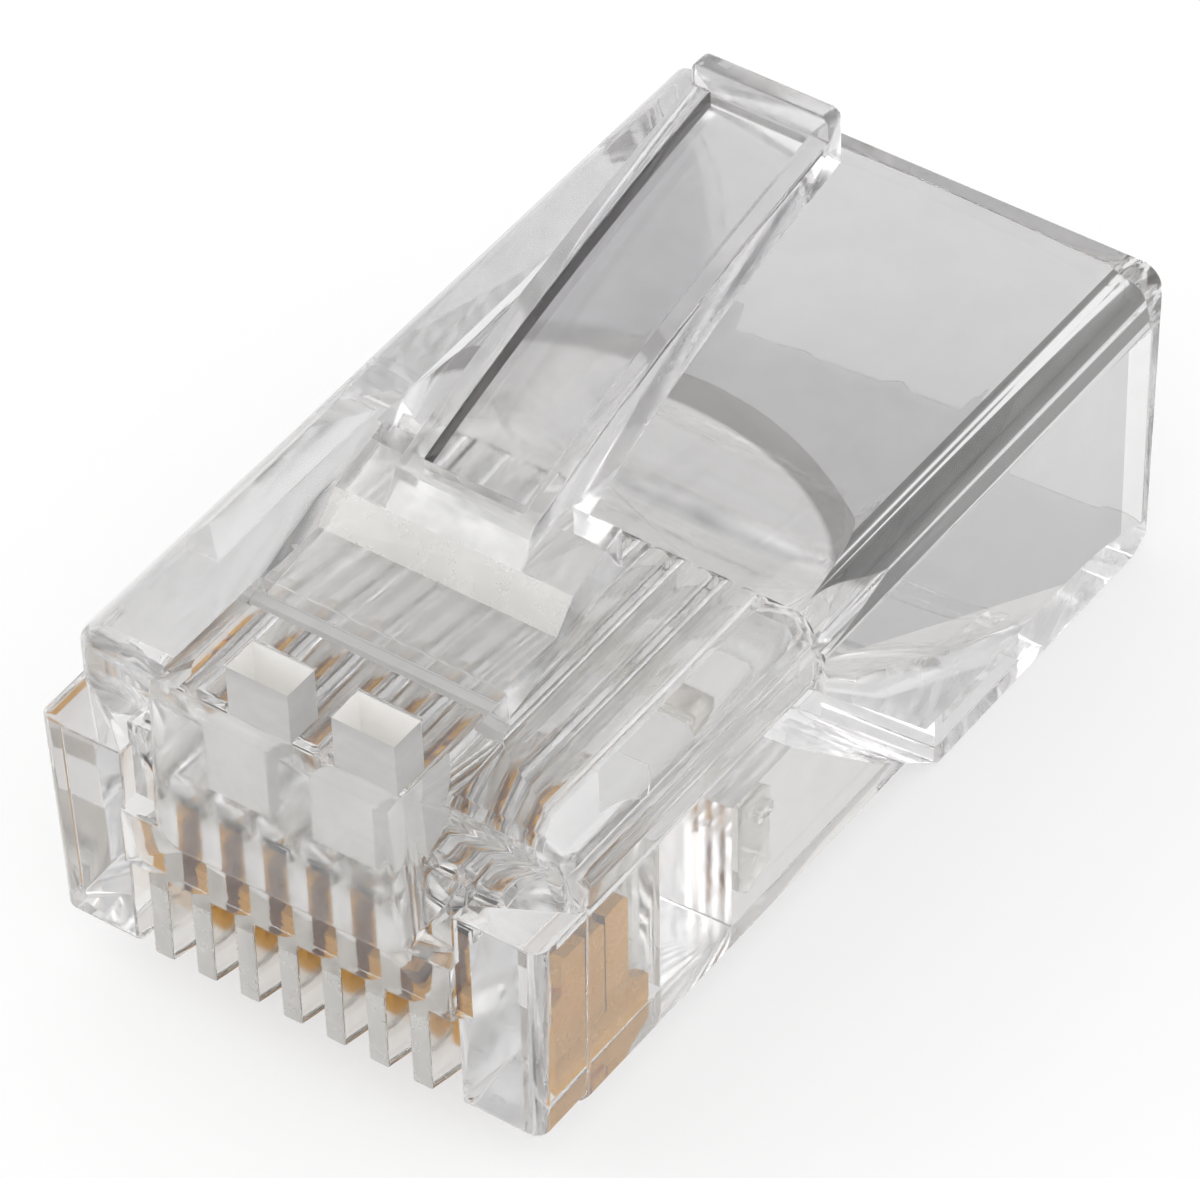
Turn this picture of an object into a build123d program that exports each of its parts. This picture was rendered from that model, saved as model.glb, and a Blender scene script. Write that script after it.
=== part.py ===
import os

from build123d import *

os.makedirs("parts", exist_ok=True)

# Eight-way modular plug, not yet crimped.
# Frame: +X to the side seen on the right with the nose in front, +Y from the nose to the cable entry,
# +Z to the latch side. X is 0 on the plane of symmetry, Y is 0 at the front of the two ears and
# Z is 0 at the underside of the deep rear part. All sizes in mm.

# Cutting shapes run past the faces they open by this much
beyond = 1.0

# Standard sizes of the interface
ways = 8
pitch = 1.016
plug_width = 11.68
front_height = 6.47
tab_width = 3.2
root_width = 5.52

# Outline of the body
deck_z = 7.47
front_floor_z = deck_z - front_height
body_front_y = 1.2
rear_y = 21.1
step_start_y = 12.25
step_run = 1.2
deck_edge_radius = 0.48
deck_front_radius = 0.4
lower_half_width = 5.6
side_draft_top_z = 6.6
rear_chamfer_y = 0.5
rear_chamfer_z = 0.3

# Ears beside the contacts
ear_top_z = 6.15
ear_inner_x = 3.84
ear_edge_radius = 0.3
ear_bottom_chamfer = 0.2
ear_overlap = 0.3

# Comb and contact slots
slot_width = 0.56
slot_rear_y = 4.65
slot_top_z = 5.3
slot_mouth_top_z = 3.47
slot_wall_rear_y = 1.14
slot_ceiling_rear_z = 3.05
comb_front_y = -0.18
comb_top_z = 4.85
tooth_tip_z = 1.33
tooth_lead_rear_y = 1.05

# Nose and its two core pockets
nose_front_y = -0.3
nose_bottom_z = 4.47
nose_top_z = 8.66
nose_bottom_width = 6.1
nose_top_width = 5.74
nose_edge_radius = 0.3
nose_corner_radius = 0.75
pocket_inner_x = 0.5
pocket_outer_x = 1.94
pocket_front_y = 1.0
pocket_rear_y = 1.84
pocket_floor_z = 6.1
brow_half_width = 3.93
brow_front_y = 0.35
brow_top_z = 6.7

# Wire channels
channel_width = 0.88
channel_floor_z = 4.9
channel_top_z = 5.95
channel_front_y = 1.35
channel_rear_y = 9.7
channel_corner_radius = 0.34
channel_overlap = 0.2

# Cable cavity and funnel
cavity_half_width = 4.96
cavity_crown_z = 6.65
cavity_shoulder_z = 6.33
cavity_floor_z = 1.0
cavity_corner_radius = 0.55
funnel_floor_front_y = 9.7
funnel_floor_rear_y = 13.3
funnel_roof_rear_y = 13.8
entry_flare = 0.5
entry_flare_depth = 2.8
entry_side_flare = 0.22
entry_side_flare_depth = 1.6

# Pockets in the underside with the strain relief bars
relief_half_width = 4.5
wire_relief_front_y = 6.75
wire_relief_top_z = 4.2
wire_relief_wall_low = 1.28
wire_relief_wall_high = 0.96
wire_bar_front_y = 7.35
wire_bar_length = 1.1
wire_bar_top_z = 3.6
bar_web = 0.3
jacket_window_front_y = 13.8
jacket_window_rear_y = 16.8
jacket_bar_front_y = 14.5
jacket_bar_top_z = 1.5
jacket_bar_sag = 0.35
bar_side_gap = 0.3

# Latch, moulded in one with the nose
hinge_y = 3.3
hinge_gap = 0.02
hinge_floor_z = 7.8
gap_front_y = 3.05
plate_flat_end_y = 4.98
ramp_end_y = 5.55
ramp_end_z = 9.26
shoulder_rear_y = 7.15
shoulder_rear_z = 9.74
shoulder_under_z = 8.75
riser_top_y = 5.95
riser_top_z = 10.08
riser_radius = 0.2
lever_crown_y = 11.2
lever_crown_z = 11.62
lever_end_y = 16.2
lever_end_z = 12.57
lever_under_crown_y = 11.5
lever_under_crown_z = 10.5
lever_under_end_z = 11.68
rim_width = 0.45
sink_depth = 0.38
sink_front_y = 6.3
sink_front_blend = 0.5
lip_length = 0.42
lip_height = 0.47
lip_corner_radius = 0.2

# Contact blades, standing a little below the teeth until they are pressed home
blade_thickness = 0.33
blade_front_y = 1.36
blade_rear_y = 4.4
blade_bottom_z = 0.72
blade_heel_z = 1.6
blade_corner_radius = 0.3
tine_front_y = 1.62
tine_rear_y = 3.76
tine_root_z = 1.95
tine_shoulder_z = 3.3
tine_slit = 0.1
tine_slit_floor_z = 1.75
tine_bevel = 0.1
tine_tip_z = 4.3
middle_tine_width = 0.48
middle_tine_offset = 0.05


def block(x0, x1, y0, y1, z0, z1):
    centre = Pos((x0 + x1) / 2, (y0 + y1) / 2, (z0 + z1) / 2)
    return centre * Box(x1 - x0, y1 - y0, z1 - z0)


def side_profile(points, half_width):
    outline = Polyline(*points, close=True)
    return extrude(Plane.YZ * make_face(outline), amount=half_width, both=True)


def curved_profile(edges, half_width):
    outline = Part() + edges
    return extrude(Plane.YZ * make_face(outline.edges()), amount=half_width, both=True)


def front_profile(points, y0, y1):
    outline = Polyline(*[(x, -z) for x, z in points], close=True)
    start = Plane(origin=(0, y0, 0), x_dir=(1, 0, 0), z_dir=(0, 1, 0))
    return extrude(start * make_face(outline), amount=y1 - y0)


def edges_along(solid, axis):
    return solid.edges().filter_by(axis)


def side_x(z):
    half = plug_width / 2
    return lower_half_width + (half - lower_half_width) * min(z / side_draft_top_z, 1)


def body_shell():
    half = plug_width / 2
    section = front_profile(
        [
            (-lower_half_width, 0),
            (lower_half_width, 0),
            (half, side_draft_top_z),
            (half, deck_z),
            (-half, deck_z),
            (-half, side_draft_top_z),
        ],
        body_front_y,
        rear_y,
    )
    top_edges = edges_along(section, Axis.Y).group_by(Axis.Z)[-1]
    section = fillet(top_edges, deck_edge_radius)
    front_top = section.edges().filter_by(Axis.X).group_by(Axis.Z)[-1].sort_by(Axis.Y)[0]
    section = fillet(front_top, deck_front_radius)
    below = side_profile(
        [
            (body_front_y - beyond, -front_floor_z),
            (step_start_y + 2 * step_run, -front_floor_z),
            (step_start_y, front_floor_z),
            (body_front_y - beyond, front_floor_z),
        ],
        plug_width,
    )
    rear_cut = side_profile(
        [
            (rear_y - rear_chamfer_y, 0),
            (rear_y - rear_chamfer_y, -rear_chamfer_z),
            (rear_y + rear_chamfer_y, -rear_chamfer_z),
            (rear_y + rear_chamfer_y, rear_chamfer_z),
            (rear_y, rear_chamfer_z),
        ],
        plug_width,
    )
    return section - below - rear_cut


def ear(side):
    solid = front_profile(
        [
            (ear_inner_x, front_floor_z),
            (side_x(front_floor_z), front_floor_z),
            (side_x(ear_top_z), ear_top_z),
            (ear_inner_x, ear_top_z),
        ],
        0,
        body_front_y + ear_overlap,
    )
    outer = solid.faces().sort_by(Axis.Y)[0].edges().sort_by(Axis.X)[-1]
    solid = fillet(outer, ear_edge_radius)
    low_front = edges_along(solid, Axis.X).group_by(Axis.Z)[0].sort_by(Axis.Y)[0]
    solid = chamfer(low_front, ear_bottom_chamfer)
    return solid if side > 0 else mirror(solid, Plane.YZ)


def comb_block():
    return side_profile(
        [
            (comb_front_y, tooth_tip_z),
            (tooth_lead_rear_y, front_floor_z),
            (slot_rear_y, front_floor_z),
            (slot_rear_y, comb_top_z),
            (comb_front_y, comb_top_z),
        ],
        ear_inner_x,
    )


def nose():
    half_bottom = nose_bottom_width / 2
    half_top = nose_top_width / 2
    solid = front_profile(
        [
            (-half_bottom, nose_bottom_z),
            (half_bottom, nose_bottom_z),
            (half_top, nose_top_z),
            (-half_top, nose_top_z),
        ],
        nose_front_y,
        hinge_y - hinge_gap,
    )
    low_sides = edges_along(solid, Axis.Y).group_by(Axis.Z)[0]
    solid = fillet(low_sides, nose_corner_radius)
    front_face = solid.faces().sort_by(Axis.Y)[0]
    return fillet(front_face.edges(), nose_edge_radius)


def nose_pockets():
    right = block(pocket_inner_x, pocket_outer_x, pocket_front_y, pocket_rear_y, pocket_floor_z, nose_top_z + beyond)
    return [right, mirror(right, Plane.YZ)]


def way_x(index):
    return (index - (ways - 1) / 2) * pitch


def contact_slots():
    mouth_slope = (slot_mouth_top_z - slot_ceiling_rear_z) / (slot_wall_rear_y - comb_front_y)
    slot = side_profile(
        [
            (comb_front_y - beyond, front_floor_z - beyond),
            (slot_rear_y, front_floor_z - beyond),
            (slot_rear_y, slot_top_z),
            (slot_wall_rear_y, slot_top_z),
            (slot_wall_rear_y, slot_ceiling_rear_z),
            (comb_front_y - beyond, slot_mouth_top_z + beyond * mouth_slope),
        ],
        slot_width / 2,
    )
    return [Pos(way_x(index), 0, 0) * slot for index in range(ways)]


def wire_channels():
    middle = (channel_floor_z + channel_top_z) / 2
    height = channel_top_z - channel_floor_z
    start = Plane(origin=(0, channel_front_y, middle), x_dir=(1, 0, 0), z_dir=(0, 1, 0))
    cuts = []
    for index in range(ways):
        outline = Pos(way_x(index), 0) * RectangleRounded(channel_width, height, channel_corner_radius)
        cuts.append(extrude(start * outline, amount=channel_rear_y - channel_front_y + channel_overlap))
    return cuts


def cable_cavity():
    half = cavity_half_width
    arch = ThreePointArc((half, -cavity_shoulder_z), (0, -cavity_crown_z), (-half, -cavity_shoulder_z))
    walls = Polyline(
        (-half, -cavity_shoulder_z),
        (-half, -cavity_floor_z),
        (half, -cavity_floor_z),
        (half, -cavity_shoulder_z),
    )
    start = Plane(origin=(0, channel_rear_y, 0), x_dir=(1, 0, 0), z_dir=(0, 1, 0))
    prism = extrude(start * make_face(walls + arch), amount=rear_y + beyond - channel_rear_y)
    prism = fillet(edges_along(prism, Axis.Y).group_by(Axis.Z)[-1], cavity_corner_radius)
    swept = side_profile(
        [
            (channel_rear_y - beyond, channel_floor_z),
            (funnel_floor_front_y, channel_floor_z),
            (funnel_floor_rear_y, cavity_floor_z),
            (rear_y + beyond, cavity_floor_z),
            (rear_y + beyond, cavity_crown_z + beyond),
            (funnel_roof_rear_y, cavity_crown_z + beyond),
            (funnel_roof_rear_y, cavity_crown_z),
            (channel_rear_y, channel_top_z),
            (channel_rear_y - beyond, channel_top_z),
        ],
        plug_width / 2,
    )
    return prism & swept


def entry_mouth():
    front = rear_y - entry_flare_depth
    behind = rear_y + beyond
    lip_z = cavity_floor_z - entry_flare
    top_z = cavity_shoulder_z - cavity_corner_radius
    floor_arc = TangentArc((front, cavity_floor_z), (rear_y, lip_z), tangent=(1, 0))
    floor_walls = Polyline(
        (rear_y, lip_z),
        (behind, lip_z),
        (behind, top_z),
        (front, top_z),
        (front, cavity_floor_z),
    )
    side_front = rear_y - entry_side_flare_depth
    inner = cavity_half_width
    outer = cavity_half_width + entry_side_flare
    plan = make_face(
        Part()
        + [
            TangentArc((inner, side_front), (outer, rear_y), tangent=(0, 1)),
            Polyline((outer, rear_y), (outer, behind), (-outer, behind), (-outer, rear_y)),
            TangentArc((-inner, side_front), (-outer, rear_y), tangent=(0, 1)),
            Polyline((-inner, side_front), (-inner, front), (inner, front), (inner, side_front)),
        ]
    )
    return curved_profile([floor_arc, floor_walls], outer) & extrude(plan, amount=top_z)


def wire_relief_pocket():
    rear_low = funnel_floor_rear_y - wire_relief_wall_low
    rear_high = funnel_floor_front_y - wire_relief_wall_high
    return side_profile(
        [
            (wire_relief_front_y, front_floor_z - beyond),
            (rear_low, front_floor_z - beyond),
            (rear_low, front_floor_z),
            (rear_high, wire_relief_top_z),
            (wire_relief_front_y, wire_relief_top_z),
        ],
        relief_half_width,
    )


def wire_bar():
    rear = wire_bar_front_y + wire_bar_length
    return side_profile(
        [
            (wire_bar_front_y, front_floor_z + bar_web),
            (wire_bar_front_y + bar_web, front_floor_z),
            (rear, front_floor_z + bar_web),
            (rear, wire_bar_top_z - bar_web),
            (rear - bar_web, wire_bar_top_z),
            (wire_bar_front_y, wire_bar_top_z),
        ],
        relief_half_width - bar_side_gap,
    ) + block(
        -relief_half_width - bar_side_gap,
        relief_half_width + bar_side_gap,
        wire_bar_front_y + bar_web,
        rear - bar_web,
        wire_bar_top_z - 2 * bar_web,
        wire_bar_top_z - bar_web,
    )


def jacket_window():
    return block(
        -relief_half_width,
        relief_half_width,
        jacket_window_front_y,
        jacket_window_rear_y,
        -beyond,
        cavity_floor_z + bar_web,
    )


def jacket_bar():
    half = relief_half_width - bar_side_gap
    arc = ThreePointArc((half, -jacket_bar_top_z), (0, jacket_bar_sag - jacket_bar_top_z), (-half, -jacket_bar_top_z))
    walls = Polyline((-half, -jacket_bar_top_z), (-half, 0), (half, 0), (half, -jacket_bar_top_z))
    start = Plane(origin=(0, jacket_bar_front_y, 0), x_dir=(1, 0, 0), z_dir=(0, 1, 0))
    rear = jacket_window_rear_y - bar_web
    bar = extrude(start * make_face(walls + arc), amount=rear - jacket_bar_front_y)
    web = block(-half, half, rear - bar_web, jacket_window_rear_y + bar_web, bar_web, 2 * bar_web)
    return bar + web


def latch_gap():
    return block(
        -plug_width,
        plug_width,
        gap_front_y,
        hinge_y + beyond,
        deck_z,
        hinge_floor_z,
    )


def housing():
    solid = body_shell() + ear(1) + ear(-1) + comb_block() + nose()
    solid += block(-brow_half_width, brow_half_width, brow_front_y, body_front_y + beyond, nose_bottom_z, brow_top_z)
    solid -= latch_gap()
    solid -= Part() + nose_pockets()
    solid -= Part() + contact_slots()
    solid -= Part() + wire_channels()
    solid -= cable_cavity()
    solid -= entry_mouth()
    solid -= wire_relief_pocket()
    solid += wire_bar()
    solid -= jacket_window()
    solid += jacket_bar()
    return solid


def latch_root():
    return side_profile(
        [
            (hinge_y, hinge_floor_z),
            (shoulder_rear_y, shoulder_under_z),
            (shoulder_rear_y, shoulder_rear_z),
            (ramp_end_y, ramp_end_z),
            (plate_flat_end_y, nose_top_z),
            (hinge_y, nose_top_z),
        ],
        root_width / 2,
    )


def lever_top(lowered):
    return ThreePointArc(
        (riser_top_y, riser_top_z - lowered),
        (lever_crown_y, lever_crown_z - lowered),
        (lever_end_y, lever_end_z - lowered),
    )


def latch_lever():
    underside = ThreePointArc(
        (lever_end_y, lever_under_end_z),
        (lever_under_crown_y, lever_under_crown_z),
        (shoulder_rear_y, shoulder_under_z),
    )
    front = Polyline(
        (shoulder_rear_y, shoulder_under_z),
        (ramp_end_y, shoulder_under_z),
        (ramp_end_y, ramp_end_z),
        (riser_top_y, riser_top_z),
    )
    tip = Line((lever_end_y, lever_end_z), (lever_end_y, lever_under_end_z))
    solid = curved_profile([lever_top(0), tip, underside, front], tab_width / 2)
    riser_edge = solid.edges().filter_by(Axis.X).sort_by_distance((0, riser_top_y, riser_top_z))[0]
    return fillet(riser_edge, riser_radius)


def lever_sink():
    floor = lever_top(sink_depth)
    above = lever_end_z + 2 * lip_height
    walls = Polyline(
        (lever_end_y, lever_end_z - sink_depth),
        (lever_end_y, above),
        (riser_top_y, above),
        (riser_top_y, riser_top_z - sink_depth),
    )
    half = tab_width / 2 - rim_width
    swept = curved_profile([floor, walls], half)
    trimmed = side_profile(
        [
            (sink_front_y, riser_top_z - sink_depth / 2),
            (sink_front_y + sink_front_blend, 0),
            (lever_end_y - lip_length, 0),
            (lever_end_y - lip_length, above),
            (sink_front_y, above),
        ],
        half,
    )
    return swept & trimmed


def lever_lip():
    solid = block(
        -tab_width / 2,
        tab_width / 2,
        lever_end_y - lip_length,
        lever_end_y,
        lever_end_z - sink_depth,
        lever_end_z + lip_height,
    )
    corners = edges_along(solid, Axis.Y).group_by(Axis.Z)[-1]
    return fillet(corners, lip_corner_radius)


def latch():
    return latch_root() + (latch_lever() - lever_sink()) + lever_lip()


def middle_tine():
    middle_y = (tine_front_y + tine_rear_y) / 2
    front = middle_y - middle_tine_width / 2
    rear = middle_y + middle_tine_width / 2
    gap = block(-plug_width, plug_width, front - tine_slit, rear + tine_slit, tine_slit_floor_z, tine_tip_z + beyond)
    tine = side_profile(
        [
            (front, tine_slit_floor_z - tine_bevel),
            (rear, tine_slit_floor_z - tine_bevel),
            (rear, tine_tip_z - tine_bevel),
            (rear - tine_bevel, tine_tip_z),
            (front + tine_bevel, tine_tip_z),
            (front, tine_tip_z - tine_bevel),
        ],
        blade_thickness / 2,
    )
    return gap, Pos(middle_tine_offset, 0, 0) * tine


def contact(index):
    blade = side_profile(
        [
            (blade_front_y, blade_bottom_z),
            (blade_rear_y, blade_bottom_z),
            (blade_rear_y, blade_heel_z),
            (tine_rear_y, tine_root_z),
            (tine_rear_y, tine_tip_z - tine_bevel),
            (tine_rear_y - tine_bevel, tine_tip_z),
            (tine_front_y + tine_bevel, tine_tip_z),
            (tine_front_y, tine_tip_z - tine_bevel),
            (tine_front_y, tine_shoulder_z + tine_bevel),
            (blade_front_y, tine_shoulder_z),
        ],
        blade_thickness / 2,
    )
    corners = edges_along(blade, Axis.X).group_by(Axis.Z)[0]
    blade = fillet(corners, blade_corner_radius)
    gap, tine = middle_tine()
    return Pos(way_x(index), 0, 0) * (blade - gap + tine)


# The origin goes to the middle of the length, at the height of the underside
to_origin = Pos(0, -(nose_front_y + rear_y) / 2, 0)
export_step(to_origin * housing(), "parts/housing.step")
export_step(to_origin * latch(), "parts/latch.step")
for number in range(ways):
    export_step(to_origin * contact(number), f"parts/contact_{number + 1}.step")
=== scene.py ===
import math
from collections import namedtuple
from contextlib import contextmanager

import bmesh
import bpy
from mathutils import Matrix, Vector


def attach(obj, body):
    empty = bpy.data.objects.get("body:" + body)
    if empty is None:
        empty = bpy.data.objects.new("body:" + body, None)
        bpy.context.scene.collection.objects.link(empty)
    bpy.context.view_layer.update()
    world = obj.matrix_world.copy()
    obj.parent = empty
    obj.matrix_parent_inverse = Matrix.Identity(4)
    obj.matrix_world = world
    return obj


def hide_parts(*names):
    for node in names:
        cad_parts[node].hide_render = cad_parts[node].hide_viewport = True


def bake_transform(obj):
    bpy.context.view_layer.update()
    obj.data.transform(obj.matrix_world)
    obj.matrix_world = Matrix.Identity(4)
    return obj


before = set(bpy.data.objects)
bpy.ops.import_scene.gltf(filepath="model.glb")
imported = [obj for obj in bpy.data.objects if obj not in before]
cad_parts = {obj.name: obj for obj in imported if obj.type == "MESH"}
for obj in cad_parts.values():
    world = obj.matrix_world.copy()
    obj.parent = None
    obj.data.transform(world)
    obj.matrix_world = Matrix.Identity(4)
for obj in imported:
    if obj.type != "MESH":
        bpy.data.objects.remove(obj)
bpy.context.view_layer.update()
MM = 0.001
scene = bpy.context.scene


def link(obj):
    scene.collection.objects.link(obj)
    return obj


@contextmanager
def edited(mesh):
    """The mesh as a bmesh, written back at the end of the block."""
    bm = bmesh.new()
    bm.from_mesh(mesh)
    yield bm
    bm.to_mesh(mesh)
    bm.free()


# Camera, solved from the edges of the photograph: degrees and millimetres, with the clips in metres
CAMERA_AZIMUTH = 36.7737
CAMERA_ELEVATION = 43.1880
CAMERA_ROLL = -2.2922
CAMERA_TARGET = (0.4418, -0.9273, 5.1751)
CAMERA_DISTANCE = 155.287
SENSOR_WIDTH = 36
LENS = 241.99
CLIP_NEAR = 0.01
CLIP_FAR = 20


def photo_camera():
    azimuth, elevation = math.radians(CAMERA_AZIMUTH), math.radians(CAMERA_ELEVATION)
    roll = math.radians(CAMERA_ROLL)
    target = Vector(CAMERA_TARGET) * MM
    distance = CAMERA_DISTANCE * MM
    back = Vector((
        math.sin(azimuth) * math.cos(elevation),
        -math.cos(azimuth) * math.cos(elevation),
        math.sin(elevation),
    ))
    right = Vector((0, 0, 1)).cross(back).normalized()
    up = back.cross(right)
    right_rolled = right * math.cos(roll) + up * math.sin(roll)
    up_rolled = up * math.cos(roll) - right * math.sin(roll)
    data = bpy.data.cameras.new("camera")
    data.sensor_width = SENSOR_WIDTH
    data.sensor_fit = "HORIZONTAL"
    data.lens = LENS
    data.clip_start = CLIP_NEAR
    data.clip_end = CLIP_FAR
    camera = link(bpy.data.objects.new("camera", data))
    axes = Matrix((right_rolled, up_rolled, back)).transposed()
    camera.matrix_world = Matrix.Translation(target + back * distance) @ axes.to_4x4()
    scene.camera = camera


# Materials: noise scales are per metre, and stretch is the scale of the noise along each axis
POLYCARBONATE_IOR = 1.585
GRAIN_SCALE = 1800
HAZE_SCALE = 1100
WAVE_HEIGHT = 4e-6
NOISE_LOW, NOISE_HIGH = 0.35, 0.65
EVEN = (1, 1, 1)
ACROSS = (0.06, 1, 1)


def new_material(name):
    material = bpy.data.materials.new(name)
    material.use_nodes = True
    tree = material.node_tree
    return material, tree, tree.nodes["Principled BSDF"]


def noise(tree, scale, detail, stretch=EVEN):
    coordinates = tree.nodes.new("ShaderNodeTexCoord")
    mapping = tree.nodes.new("ShaderNodeMapping")
    mapping.inputs["Scale"].default_value = stretch
    texture = tree.nodes.new("ShaderNodeTexNoise")
    texture.inputs["Scale"].default_value = scale
    texture.inputs["Detail"].default_value = detail
    tree.links.new(coordinates.outputs["Object"], mapping.inputs["Vector"])
    tree.links.new(mapping.outputs["Vector"], texture.inputs["Vector"])
    return texture.outputs["Fac"]


def map_range(tree, value, from_low, from_high, low=0, high=1):
    node = tree.nodes.new("ShaderNodeMapRange")
    node.inputs["From Min"].default_value = from_low
    node.inputs["From Max"].default_value = from_high
    node.inputs["To Min"].default_value = low
    node.inputs["To Max"].default_value = high
    tree.links.new(value, node.inputs["Value"])
    return node.outputs["Result"]


def spread(tree, value, low, high):
    return map_range(tree, value, NOISE_LOW, NOISE_HIGH, low, high)


def maximum(tree, first, second):
    node = tree.nodes.new("ShaderNodeMath")
    node.operation = "MAXIMUM"
    tree.links.new(first, node.inputs[0])
    tree.links.new(second, node.inputs[1])
    return node.outputs[0]


def bump(tree, shader, value, strength, distance):
    node = tree.nodes.new("ShaderNodeBump")
    node.inputs["Strength"].default_value = strength
    node.inputs["Distance"].default_value = distance
    tree.links.new(value, node.inputs["Height"])
    tree.links.new(node.outputs["Normal"], shader.inputs["Normal"])


def clear_plastic(name, colour, clearness, rough, wave_scale, wave_strength, stretch=EVEN):
    """A clear plastic whose share of light let through and roughness each vary from low to high."""
    material, tree, shader = new_material(name)
    shader.inputs["Base Color"].default_value = (*colour, 1)
    shader.inputs["IOR"].default_value = POLYCARBONATE_IOR
    grain = noise(tree, GRAIN_SCALE, 3, stretch)
    tree.links.new(spread(tree, grain, *rough), shader.inputs["Roughness"])
    haze = noise(tree, HAZE_SCALE, 4, stretch)
    tree.links.new(spread(tree, haze, *clearness), shader.inputs["Transmission Weight"])
    bump(tree, shader, noise(tree, wave_scale, 2, stretch), wave_strength, WAVE_HEIGHT)
    return material


# The oval on the roof of the bell mouth, in millimetres. Its rim is in shares of its half sizes
OVAL_HALF_WIDTH = 5.15
OVAL_HALF_LENGTH = 3.1
OVAL_CENTRE_Y = -0.4
OVAL_RIM = (0.97, 1.0)
OVAL_INSIDE = (0.995, 0.99, 0.985)
# The grey beyond the oval is painted shade
OVAL_BEYOND_PAINTED_SHADE = (0.2, 0.193, 0.187)


def streaked_roof():
    """A plastic that is nearly colourless and streaked inside the oval, with painted shade in grey beyond it.
    """
    material = clear_plastic(
        "streaked_polycarbonate_painted_shade", OVAL_INSIDE,
        clearness=(0.85, 0.98), rough=(0.05, 0.2), wave_scale=900, wave_strength=0.35, stretch=ACROSS,
    )
    tree = material.node_tree
    shader = tree.nodes["Principled BSDF"]
    coordinates = tree.nodes.new("ShaderNodeTexCoord")
    mapping = tree.nodes.new("ShaderNodeMapping")
    mapping.inputs["Scale"].default_value = (1 / (OVAL_HALF_WIDTH * MM), 1 / (OVAL_HALF_LENGTH * MM), 0)
    mapping.inputs["Location"].default_value = (0, -OVAL_CENTRE_Y / OVAL_HALF_LENGTH, 0)
    length = tree.nodes.new("ShaderNodeVectorMath")
    length.operation = "LENGTH"
    tree.links.new(coordinates.outputs["Object"], mapping.inputs["Vector"])
    tree.links.new(mapping.outputs["Vector"], length.inputs[0])
    beyond = map_range(tree, length.outputs["Value"], *OVAL_RIM)
    painted_shade_tint = tree.nodes.new("ShaderNodeMix")
    painted_shade_tint.data_type = "RGBA"
    painted_shade_tint.inputs["A"].default_value = (*OVAL_INSIDE, 1)
    painted_shade_tint.inputs["B"].default_value = (*OVAL_BEYOND_PAINTED_SHADE, 1)
    tree.links.new(beyond, painted_shade_tint.inputs["Factor"])
    tree.links.new(painted_shade_tint.outputs["Result"], shader.inputs["Base Color"])
    haze = shader.inputs["Transmission Weight"].links[0].from_socket
    tree.links.new(maximum(tree, haze, beyond), shader.inputs["Transmission Weight"])
    return material


def gold():
    material, tree, shader = new_material("gold_plating")
    shader.inputs["Base Color"].default_value = (0.66, 0.34, 0.05, 1)
    shader.inputs["Metallic"].default_value = 1
    tree.links.new(spread(tree, noise(tree, 2500, 3), 0.22, 0.34), shader.inputs["Roughness"])
    bump(tree, shader, noise(tree, 6000, 2), 0.2, 2e-6)
    return material


# Places on the moulding, in millimetres. Meshes are in millimetres until clear_piece scales them
FRONT_Y = -10.4
COMB_Y = -10.58
TOOTH_TOP_Z = 3.2
HINGE_Y = -7.1
WEB_CUT_Y = -7.08
WEB_REACH = 0.05
WEB_UNDER_Z = 7.7
WEB_HALF_WIDTH = 2.8

# One material slot for each finish
CLEAR, GRAINED, SATIN, STREAKED, SCRATCHED, FROSTED, PAINTED_SHADE_BORE, LEVER, PAINTED_DARK_EDGE = range(9)


def below(limit):
    return -math.inf, limit


def above(limit):
    return limit, math.inf


ANYWHERE = (-math.inf, math.inf)

# A zone is a box of places on the moulding, and faces is a test on a face's centre and normal.
# x is the distance from the middle plane, y the distance behind the front face and z the height
Zone = namedtuple("Zone", "finish x y z faces", defaults=(lambda centre, normal: True,))

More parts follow.
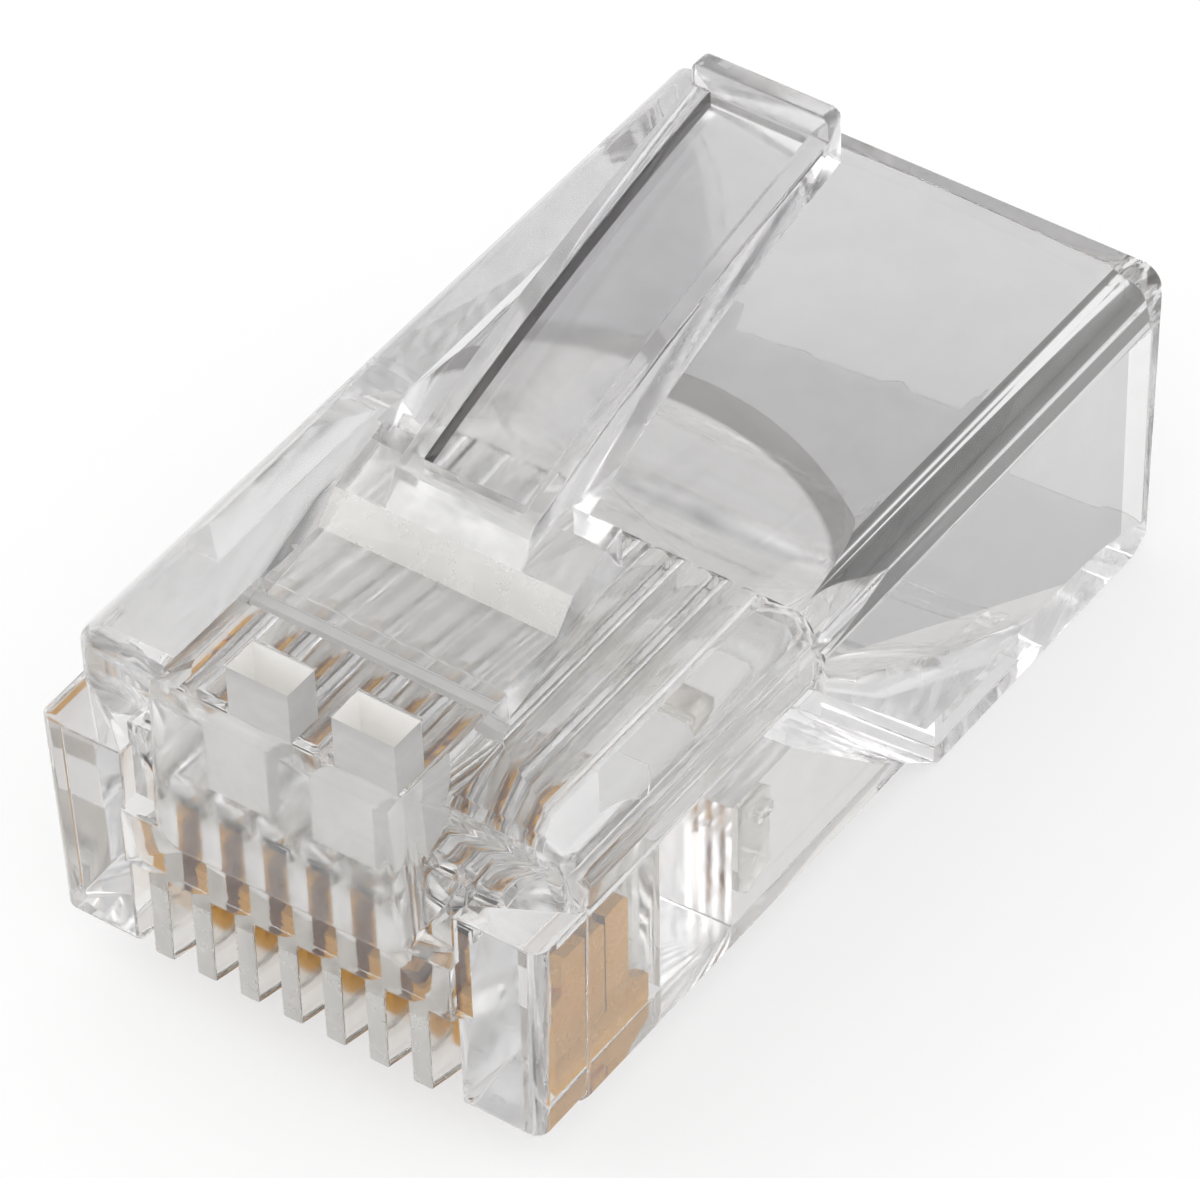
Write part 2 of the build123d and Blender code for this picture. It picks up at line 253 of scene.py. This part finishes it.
# A face takes its finish from the first zone that holds it
ZONES = {
    "nose pockets": Zone(FROSTED, (0.4, 2.0), (0.95, 1.9), (6.0, 8.6)),
    "gap before the web": Zone(FROSTED, below(3.2), (3.0, 3.4), (7.4, 7.85)),
    "tooth fronts": Zone(
        SCRATCHED, below(3.95), below(-0.1), below(TOOTH_TOP_Z),
        lambda centre, normal: normal.y < -0.5),
    "contact slots": Zone(GRAINED, below(4.0), (-0.2, 4.75), (1.05, 5.35)),
    "latch ramp": Zone(
        SCRATCHED, below(2.9), (4.9, 5.7), (8.6, 9.35),
        lambda centre, normal: normal.y < -0.3 and normal.z > 0.3),
    # Painted dark reflection: a near-black tint on the cavity's upper corners
    "upper corners of the cavity": Zone(
        PAINTED_DARK_EDGE, (4.3, 5.0), above(10.5), (5.6, 6.7),
        lambda centre, normal: 0.5 < abs(normal.x) < 0.97 and normal.z < -0.2),
    # The roof's material carries painted shade in grey beyond the oval
    "roof of the bell mouth": Zone(
        STREAKED, below(5.1), (9.65, 13.9), (5.4, 6.8),
        lambda centre, normal: normal.z < -0.8),
    "bell mouth": Zone(GRAINED, below(5.1), (9.6, 13.9), (1.05, 6.8)),
    "strain relief": Zone(GRAINED, below(4.6), (6.7, 12.1), (1.02, 4.3)),
    "wire channels": Zone(SATIN, below(4.0), (1.2, 9.6), (4.8, 6.2)),
    "underside of the latch root": Zone(
        SATIN, below(2.9), (3.3, 7.2), (7.75, 8.8),
        lambda centre, normal: normal.z < -0.5),
    "nose": Zone(SATIN, below(3.2), below(0.3), (4.4, 8.7)),
    "riser behind the ramp": Zone(SATIN, below(2.9), (5.4, 6.2), (9.2, 10.2)),
    # Painted shade: a dark grey tint on the cavity's roof and walls
    "roof and walls of the cavity": Zone(
        PAINTED_SHADE_BORE, below(5.35), above(13.9), (2.0, 7.0),
        lambda centre, normal: abs(centre.x) < 5.0 or abs(normal.x) < 0.95),
    # Painted dark reflection: a near-black tint on the inner sides of the lever's rims
    "inner sides of the lever's rims": Zone(
        PAINTED_DARK_EDGE, ANYWHERE, above(6.5), above(8.9),
        lambda centre, normal: normal.x * centre.x < 0 and abs(normal.x) > 0.5),
    # Painted shade: the lever takes a slightly greyer copy of the clear plastic
    "lever": Zone(LEVER, ANYWHERE, ANYWHERE, above(8.7)),
}


def finish_of(centre, normal):
    place = abs(centre.x), centre.y - FRONT_Y, centre.z
    for zone in ZONES.values():
        inside = all(low < value < high for value, (low, high) in zip(place, (zone.x, zone.y, zone.z)))
        if inside and zone.faces(centre, normal):
            return zone.finish
    return CLEAR


# The clear moulding, in millimetres and degrees
TOLERANCE = 0.01
WELD_DISTANCE = 1e-4
CUT_DISTANCE = 1e-5
FLAT_ANGLE = 0.5
ROUNDED_ABOVE_ANGLE = 30
SMOOTH_ANGLE = 32
EDGE_ROUNDING = 0.045
ROOT_PUSH = 0.04
ROOT_SWELL = 0.006
ROOT_MIDDLE_Z = 8.2
FILM_X = 3.86
FILM_HALF_WIDTH = 0.03
FILM_Y = (-10.8, FRONT_Y)
FILM_Z = (0.5, 3.47)


def weld(bm):
    bmesh.ops.remove_doubles(bm, verts=bm.verts, dist=WELD_DISTANCE)
    bmesh.ops.dissolve_limit(bm, angle_limit=math.radians(FLAT_ANGLE), verts=bm.verts, edges=bm.edges)


def solid_from_node(name):
    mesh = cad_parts[name].data.copy()
    with edited(mesh) as bm:
        bmesh.ops.scale(bm, vec=(1 / MM,) * 3, verts=bm.verts)
        weld(bm)
    return link(bpy.data.objects.new("cut_" + name, mesh))


def box_object(name, lo, hi):
    mesh = bpy.data.meshes.new(name)
    with edited(mesh) as bm:
        bmesh.ops.create_cube(bm, size=1)
        for vert in bm.verts:
            for axis in range(3):
                vert.co[axis] = lo[axis] if vert.co[axis] < 0 else hi[axis]
    return link(bpy.data.objects.new(name, mesh))


def evaluated_mesh(obj):
    evaluated = obj.evaluated_get(bpy.context.evaluated_depsgraph_get())
    return bpy.data.meshes.new_from_object(evaluated)


def combined(target, added, removed):
    for operation, others in (("UNION", added), ("DIFFERENCE", removed)):
        for other in others:
            modifier = target.modifiers.new(operation, "BOOLEAN")
            modifier.operation = operation
            modifier.solver = "EXACT"
            modifier.object = other
    mesh = evaluated_mesh(target)
    for obj in [target, *added, *removed]:
        bpy.data.objects.remove(obj)
    return mesh


def at_web(point):
    near = abs(point.y - HINGE_Y) < WEB_REACH and abs(point.x) < WEB_HALF_WIDTH
    return near and point.z > WEB_UNDER_Z


def rounded_edges(mesh, width):
    """The mesh with its convex edges rounded, apart from those at the web."""
    with edited(mesh) as bm:
        weight = bm.edges.layers.float.new("bevel_weight_edge")
        for edge in bm.edges:
            middle = (edge.verts[0].co + edge.verts[1].co) / 2
            convex = len(edge.link_faces) == 2 and edge.is_convex
            if convex and edge.calc_face_angle() > math.radians(ROUNDED_ABOVE_ANGLE) and not at_web(middle):
                edge[weight] = 1
    obj = link(bpy.data.objects.new("rounding", mesh))
    modifier = obj.modifiers.new("round", "BEVEL")
    modifier.limit_method = "WEIGHT"
    modifier.width = width
    modifier.segments = 2
    modifier.use_clamp_overlap = False
    rounded = evaluated_mesh(obj)
    bpy.data.objects.remove(obj)
    with edited(rounded) as bm:
        wide = [face for face in bm.faces if len(face.verts) > 4]
        bmesh.ops.triangulate(bm, faces=wide, ngon_method="EAR_CLIP")
    return rounded


def smooth_flat_faces(obj):
    obj.data.shade_smooth()
    obj.data.set_sharp_from_angle(angle=math.radians(SMOOTH_ANGLE))
    modifier = obj.modifiers.new("weighted", "WEIGHTED_NORMAL")
    modifier.keep_sharp = True
    modifier.weight = 100


def with_edges_and_verts(faces):
    edges = {edge for face in faces for edge in face.edges}
    verts = {vert for face in faces for vert in face.verts}
    return [*faces, *edges, *verts]


def faces_enclosed(start, outline):
    """The faces that can be reached from the start without crossing the outline."""
    reached = set()
    waiting = [start]
    while waiting:
        face = waiting.pop()
        if face in reached:
            continue
        reached.add(face)
        for edge in face.edges:
            if edge not in outline:
                waiting.extend(edge.link_faces)
    return reached


def split_at(mesh, cut_y, low_z):
    """The parts of the mesh in front of the cut and behind it, as open shells that share the cut's outline.

    Only faces above low_z are cut. The part behind holds the mesh's highest face.
    """
    bm = bmesh.new()
    bm.from_mesh(mesh)
    crossing = []
    for face in bm.faces:
        ys = [vert.co.y for vert in face.verts]
        if min(ys) < cut_y < max(ys) and min(vert.co.z for vert in face.verts) > low_z:
            crossing.append(face)
    cut = bmesh.ops.bisect_plane(
        bm, geom=with_edges_and_verts(crossing), plane_co=(0, cut_y, 0), plane_no=(0, 1, 0), dist=CUT_DISTANCE
    )
    outline = {item for item in cut["geom_cut"] if isinstance(item, bmesh.types.BMEdge)}
    highest = max(bm.faces, key=lambda face: face.calc_center_median().z)
    bm.faces.index_update()
    behind = {face.index for face in faces_enclosed(highest, outline)}
    halves = []
    for keeps_behind in (False, True):
        half = bm.copy()
        unwanted = [face for face in half.faces if (face.index in behind) != keeps_behind]
        bmesh.ops.delete(half, geom=unwanted, context="FACES")
        part = bpy.data.meshes.new("part")
        half.to_mesh(part)
        half.free()
        halves.append(part)
    bm.free()
    return halves


def lever_with_root():
    """The lever with its front end pushed into the housing, so that no two faces lie in one plane."""
    lever = solid_from_node("latch")
    for vert in lever.data.vertices:
        if vert.co.y < HINGE_Y + TOLERANCE:
            vert.co.y = HINGE_Y - ROOT_PUSH
            vert.co.z += ROOT_SWELL if vert.co.z > ROOT_MIDDLE_Z else -ROOT_SWELL
    return lever


def film_cutters():
    """Cutters for the thin films that stand beside the two outer slots."""
    (front, back), (low, high) = FILM_Y, FILM_Z
    return [
        box_object("film", (x - FILM_HALF_WIDTH, front, low), (x + FILM_HALF_WIDTH, back, high))
        for x in (-FILM_X, FILM_X)
    ]


def cut_comb_front(bm):
    """Cut the comb's front at the top of the teeth, where its finish changes."""
    comb = [
        face for face in bm.faces
        if abs(face.calc_center_median().y - COMB_Y) < TOLERANCE and face.normal.y < -0.9
    ]
    bmesh.ops.bisect_plane(
        bm, geom=with_edges_and_verts(comb), plane_co=(0, 0, TOOTH_TOP_Z), plane_no=(0, 0, 1)
    )


def clear_piece(name, mesh, materials):
    for material in materials:
        mesh.materials.append(material)
    for face in mesh.polygons:
        face.material_index = finish_of(face.center, face.normal)
    mesh.transform(Matrix.Scale(MM, 4))
    obj = link(bpy.data.objects.new(name, mesh))
    smooth_flat_faces(obj)
    return obj


def clear_moulding(materials):
    """The housing and the lever, made as one moulding so that the web between them has no inner wall."""
    mesh = combined(solid_from_node("housing"), [lever_with_root()], film_cutters())
    with edited(mesh) as bm:
        weld(bm)
        cut_comb_front(bm)
    mesh.materials.clear()
    body_mesh, lever_mesh = split_at(rounded_edges(mesh, EDGE_ROUNDING), WEB_CUT_Y, WEB_UNDER_Z)
    body = clear_piece("clear_housing", body_mesh, materials)
    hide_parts("housing")
    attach(body, "plug_body")
    lever = clear_piece("clear_lever", lever_mesh, materials)
    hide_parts("latch")
    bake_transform(lever)


def gold_contacts():
    gold_material = gold()
    for name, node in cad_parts.items():
        if name.startswith("contact"):
            node.data.materials.clear()
            node.data.materials.append(gold_material)
            node.data.set_sharp_from_angle(angle=math.radians(SMOOTH_ANGLE))


# Floor and lamps, in metres
FLOOR_HALF_SIZE = 3
FLOOR_DROP = 0.02 * MM
FLOOR_GREY = 0.4
FLOOR_GLOW = 0.6
LAMP_AIM = (0, 0, 0.005)
LAMP_SIZE = 0.4

# Levels of the sky. The steps between its ends are pairs of a place on the ramp and a level
SKY_LOWEST = 0.97
SKY_STEPS = ((0.55, 0.97), (0.74, 0.82), (0.9, 0.82))
SKY_HIGHEST = 1.1


def pale_floor_material():
    """A grey floor whose glow is seen by the camera, in reflections and through the plastic only."""
    material = bpy.data.materials.new("pale_floor")
    material.use_nodes = True
    tree = material.node_tree
    tree.nodes.clear()
    output = tree.nodes.new("ShaderNodeOutputMaterial")
    add = tree.nodes.new("ShaderNodeAddShader")
    diffuse = tree.nodes.new("ShaderNodeBsdfDiffuse")
    diffuse.inputs["Color"].default_value = (FLOOR_GREY, FLOOR_GREY, FLOOR_GREY, 1)
    glow = tree.nodes.new("ShaderNodeEmission")
    path = tree.nodes.new("ShaderNodeLightPath")
    shiny = maximum(tree, path.outputs["Is Glossy Ray"], path.outputs["Is Transmission Ray"])
    seen = maximum(tree, path.outputs["Is Camera Ray"], shiny)
    strength = tree.nodes.new("ShaderNodeMath")
    strength.operation = "MULTIPLY"
    strength.inputs[1].default_value = FLOOR_GLOW
    tree.links.new(seen, strength.inputs[0])
    tree.links.new(strength.outputs[0], glow.inputs["Strength"])
    tree.links.new(diffuse.outputs[0], add.inputs[0])
    tree.links.new(glow.outputs[0], add.inputs[1])
    tree.links.new(add.outputs[0], output.inputs["Surface"])
    return material


def stage_floor():
    mesh = bpy.data.meshes.new("floor")
    with edited(mesh) as bm:
        bmesh.ops.create_grid(bm, x_segments=1, y_segments=1, size=FLOOR_HALF_SIZE)
    floor = link(bpy.data.objects.new("floor", mesh))
    floor.location.z = -FLOOR_DROP
    floor.data.materials.append(pale_floor_material())


def studio_world():
    """A grey sky whose level changes with height."""
    world = bpy.data.worlds.new("studio")
    scene.world = world
    world.use_nodes = True
    tree = world.node_tree
    background = tree.nodes["Background"]
    coordinates = tree.nodes.new("ShaderNodeTexCoord")
    split = tree.nodes.new("ShaderNodeSeparateXYZ")
    ramp = tree.nodes.new("ShaderNodeValToRGB")
    elements = ramp.color_ramp.elements
    elements[0].position = 0.0
    elements[0].color = (SKY_LOWEST, SKY_LOWEST, SKY_LOWEST, 1)
    elements[1].position = 1.0
    elements[1].color = (SKY_HIGHEST, SKY_HIGHEST, SKY_HIGHEST, 1)
    for place, level in SKY_STEPS:
        step = elements.new(place)
        step.color = (level, level, level, 1)
    tree.links.new(coordinates.outputs["Generated"], split.inputs[0])
    tree.links.new(split.outputs["Z"], ramp.inputs["Fac"])
    tree.links.new(ramp.outputs["Color"], background.inputs["Color"])
    background.inputs["Strength"].default_value = 1


def soft_lamp(name, place, power):
    data = bpy.data.lights.new(name, "AREA")
    data.shape = "SQUARE"
    data.size = LAMP_SIZE
    data.energy = power
    lamp = link(bpy.data.objects.new(name, data))
    lamp.location = place
    direction = Vector(LAMP_AIM) - Vector(place)
    lamp.rotation_mode = "QUATERNION"
    lamp.rotation_quaternion = direction.to_track_quat("-Z", "Y")


photo_camera()

# The materials are in the order of the finishes
clear_moulding([
    clear_plastic("clear_polycarbonate", (0.93, 0.925, 0.925),
                  clearness=(0.95, 0.985), rough=(0.01, 0.05), wave_scale=500, wave_strength=0.02),
    clear_plastic("grained_polycarbonate", (0.93, 0.915, 0.89),
                  clearness=(0.95, 0.99), rough=(0.05, 0.12), wave_scale=900, wave_strength=0.1),
    clear_plastic("satin_polycarbonate", (0.995, 0.99, 0.98),
                  clearness=(0.85, 0.95), rough=(0.1, 0.25), wave_scale=900, wave_strength=0.12),
    streaked_roof(),
    clear_plastic("scratched_polycarbonate", (0.83, 0.815, 0.79),
                  clearness=(0.35, 0.5), rough=(0.2, 0.4), wave_scale=1800, wave_strength=0.4),
    clear_plastic("frosted_polycarbonate", (0.995, 0.985, 0.97),
                  clearness=(0.05, 0.15), rough=(0.45, 0.65), wave_scale=3000, wave_strength=0.5),
    # Dark grey copy of the clear plastic: painted shade in the cavity
    clear_plastic("bore_polycarbonate_painted_shade", (0.46, 0.455, 0.465),
                  clearness=(0.93, 0.97), rough=(0.02, 0.08), wave_scale=700, wave_strength=0.01),
    # Slightly greyer than the clear plastic: painted shade on the lever
    clear_plastic("lever_polycarbonate_painted_shade", (0.91, 0.905, 0.91),
                  clearness=(0.9, 0.97), rough=(0.03, 0.12), wave_scale=900, wave_strength=0.15),
    # Near-black tint: painted dark reflection on the cavity's upper corners and the inner sides of the
    # lever's rims
    clear_plastic("painted_dark_reflection_polycarbonate", (0.03, 0.029, 0.028),
                  clearness=(0.93, 0.98), rough=(0.02, 0.08), wave_scale=900, wave_strength=0.1),
])
gold_contacts()

stage_floor()
studio_world()
soft_lamp("lamp_left", place=(-0.4, -0.15, 0.3), power=0.6)
soft_lamp("lamp_right", place=(0.3, -0.3, 0.4), power=0.3)

scene.view_settings.view_transform = "Standard"
scene.cycles.max_bounces = 48
scene.cycles.transmission_bounces = 48
scene.cycles.glossy_bounces = 48
scene.cycles.diffuse_bounces = 12
scene.cycles.transparent_max_bounces = 16
